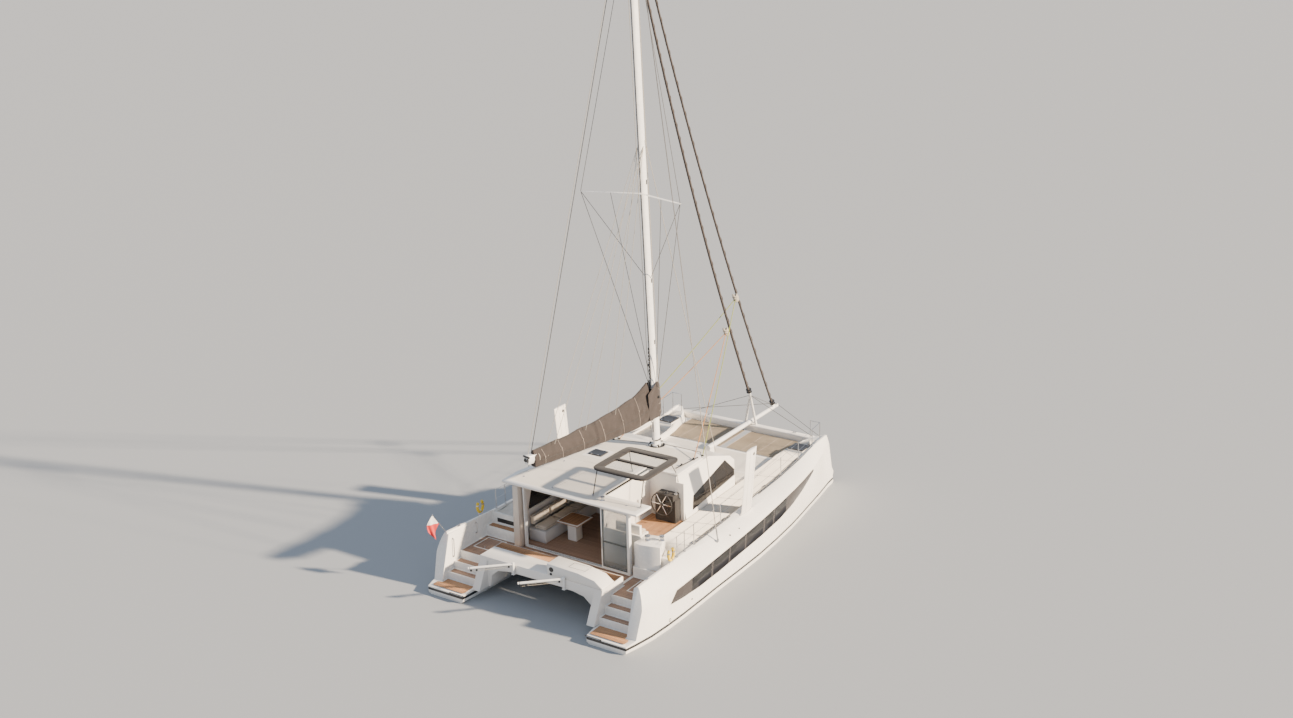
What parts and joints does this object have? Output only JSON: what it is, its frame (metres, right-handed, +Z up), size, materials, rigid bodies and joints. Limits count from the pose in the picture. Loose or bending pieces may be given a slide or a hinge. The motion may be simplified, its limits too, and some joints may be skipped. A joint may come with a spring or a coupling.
{
  "type": "sailing catamaran",
  "caption": "Cruising sailing catamaran with stepped sterns, open saloon, raised helm under a bimini, raked mast, stowed boom, furled headsails and raised daggerboards.",
  "frame": {"origin": "amidships on the centreline at the waterline, where the floating boat is held by the water", "axes": "+Z up, +Y towards the bows, +X to starboard"},
  "size_m": [8.5784, 16.6036, 23.8003],
  "materials": {
    "gelcoat": "glossy warm white gelcoat",
    "deck": "fine non-slip moulded deck",
    "smoked_glazing": "dark smoked acrylic",
    "clear_glazing": "clear tempered glass",
    "teak": "oiled teak planks with dark seams",
    "spar": "white painted spar",
    "steel": "polished stainless",
    "bronze": "cast bronze",
    "iron": "grey painted casting",
    "canvas": "taupe acrylic canvas",
    "sail_cover": "black sacrificial strip",
    "cushion": "woven outdoor fabric",
    "net": "tan woven trampoline mesh",
    "charcoal": "satin charcoal composite"
  },
  "bodies": {
    "boat": {"hull_port": "gelcoat", "hull_starboard": "gelcoat", "hull_window_port": "smoked_glazing", "hull_window_starboard": "smoked_glazing", "bridgedeck": "deck", "aft_beam": "gelcoat", "aft_locker": "gelcoat", "crossbeam": "spar", "bowsprit": "spar", "striker": "spar", "trampoline_port": "net", "trampoline_starboard": "net", "cabin_front": "gelcoat", "cabin_port": "gelcoat", "cabin_starboard": "gelcoat", "windscreen": "smoked_glazing", "window_port": "smoked_glazing", "window_starboard": "smoked_glazing", "helm_bulkhead": "gelcoat", "roof": "gelcoat", "roof_post": "deck", "door_frame": "spar", "sofa_base": "deck", "sofa_cushions": "cushion", "table": "deck", "helm_seat": "teak", "helm_console": "charcoal", "bimini_frame": "charcoal", "bimini_panel": "clear_glazing", "mast": "spar", "spreaders": "spar", "shroud_port": "steel", "shroud_starboard": "steel", "furled_jib": "sail_cover", "furled_genoa": "sail_cover", "saildrive_port": "iron", "saildrive_starboard": "iron", "engine_port": "iron", "engine_starboard": "iron", "guard_rail_port": "steel", "guard_rail_starboard": "steel"},
    "boom": {"boom": "spar", "sail_bag": "canvas"},
    "wheel": {"steering_wheel": "steel"},
    "rudder_port": {"rudder_port": "gelcoat"},
    "rudder_starboard": {"rudder_starboard": "gelcoat"},
    "propeller_port": {"propeller_port": "bronze"},
    "propeller_starboard": {"propeller_starboard": "bronze"},
    "daggerboard_port": {"daggerboard_port": "gelcoat"},
    "daggerboard_starboard": {"daggerboard_starboard": "gelcoat"},
    "door_leaf_1": {"door_leaf_1": "clear_glazing"},
    "door_leaf_2": {"door_leaf_2": "clear_glazing"},
    "door_leaf_3": {"door_leaf_3": "clear_glazing"},
    "engine_hatch_port": {"engine_hatch_port": "teak"},
    "engine_hatch_starboard": {"engine_hatch_starboard": "teak"},
    "fore_hatch_port": {"fore_hatch_port": "smoked_glazing"},
    "fore_hatch_starboard": {"fore_hatch_starboard": "smoked_glazing"},
    "roof_hatch": {"roof_hatch": "smoked_glazing"},
    "davit_port": {"davit_port": "spar"},
    "davit_starboard": {"davit_starboard": "spar"}
  },
  "joints": [
    {"name": "boom_swing", "type": "hinge", "parent": "boat", "child": "boom", "pos_m": [0, -0.00856, 4.38], "axis": [0, 0, 1], "range_deg": [-40, 60]},
    {"name": "rudder_turn", "type": "hinge", "parent": "boat", "child": "rudder_port", "pos_m": [-3.23, -6.5, -0.9], "axis": [0, 0, 1], "range_deg": [-35, 35]},
    {"name": "rudder_turn_starboard", "type": "hinge", "parent": "boat", "child": "rudder_starboard", "pos_m": [3.23, -6.5, -0.9], "axis": [0, 0, 1], "range_deg": [-35, 35]},
    {"name": "wheel_turn", "type": "hinge", "parent": "boat", "child": "wheel", "pos_m": [1.75, -2.12, 2.42], "axis": [0, 1, 0], "range_deg": [-270, 270]},
    {"name": "propeller_spin_port", "type": "hinge", "parent": "boat", "child": "propeller_port", "pos_m": [-3.26, -5.33, -0.86], "axis": [0, 1, 0], "continuous": true},
    {"name": "propeller_spin_starboard", "type": "hinge", "parent": "boat", "child": "propeller_starboard", "pos_m": [3.26, -5.33, -0.86], "axis": [0, 1, 0], "continuous": true},
    {"name": "daggerboard_slide_port", "type": "slide", "parent": "boat", "child": "daggerboard_port", "axis": [-0.0916, 0, 0.9958], "range_m": [-1.95, 0]},
    {"name": "daggerboard_slide_starboard", "type": "slide", "parent": "boat", "child": "daggerboard_starboard", "axis": [0.0916, 0, 0.9958], "range_m": [-1.95, 0]},
    {"name": "door_slide_1", "type": "slide", "parent": "boat", "child": "door_leaf_1", "axis": [-1, 0, 0], "range_m": [0, 1.03]},
    {"name": "door_slide_2", "type": "slide", "parent": "boat", "child": "door_leaf_2", "axis": [-1, 0, 0], "range_m": [0, 2.06]},
    {"name": "door_slide_3", "type": "slide", "parent": "boat", "child": "door_leaf_3", "axis": [-1, 0, 0], "range_m": [0, 3.08]},
    {"name": "engine_hatch_lift_port", "type": "hinge", "parent": "boat", "child": "engine_hatch_port", "pos_m": [-3.125, -4.91, 1.05], "axis": [-1, 0, 0], "range_deg": [0, 80]},
    {"name": "engine_hatch_lift_starboard", "type": "hinge", "parent": "boat", "child": "engine_hatch_starboard", "pos_m": [3.125, -4.91, 1.05], "axis": [-1, 0, 0], "range_deg": [0, 80]},
    {"name": "fore_hatch_lift_port", "type": "hinge", "parent": "boat", "child": "fore_hatch_port", "pos_m": [-2.86, 5.75, 2.06], "axis": [-1, 0, 0], "range_deg": [0, 70]},
    {"name": "fore_hatch_lift_starboard", "type": "hinge", "parent": "boat", "child": "fore_hatch_starboard", "pos_m": [2.86, 5.75, 2.06], "axis": [-1, 0, 0], "range_deg": [0, 70]},
    {"name": "roof_hatch_lift", "type": "hinge", "parent": "boat", "child": "roof_hatch", "pos_m": [-1.325, -1.15, 3.39], "axis": [-1, 0, 0], "range_deg": [0, 60]},
    {"name": "davit_swing_port", "type": "hinge", "parent": "boat", "child": "davit_port", "pos_m": [-1.03, -6.654, 1.3], "axis": [0, 0, 1], "range_deg": [-40, 45]},
    {"name": "davit_swing_starboard", "type": "hinge", "parent": "boat", "child": "davit_starboard", "pos_m": [1, -6.654, 1.3], "axis": [0, 0, 1], "range_deg": [-40, 45]}
  ],
  "couplings": [
    {"joint": "rudder_turn_starboard", "follows": "rudder_turn", "ratio": 1},
    {"joint": "wheel_turn", "follows": "rudder_turn", "ratio": 7.714}
  ]
}
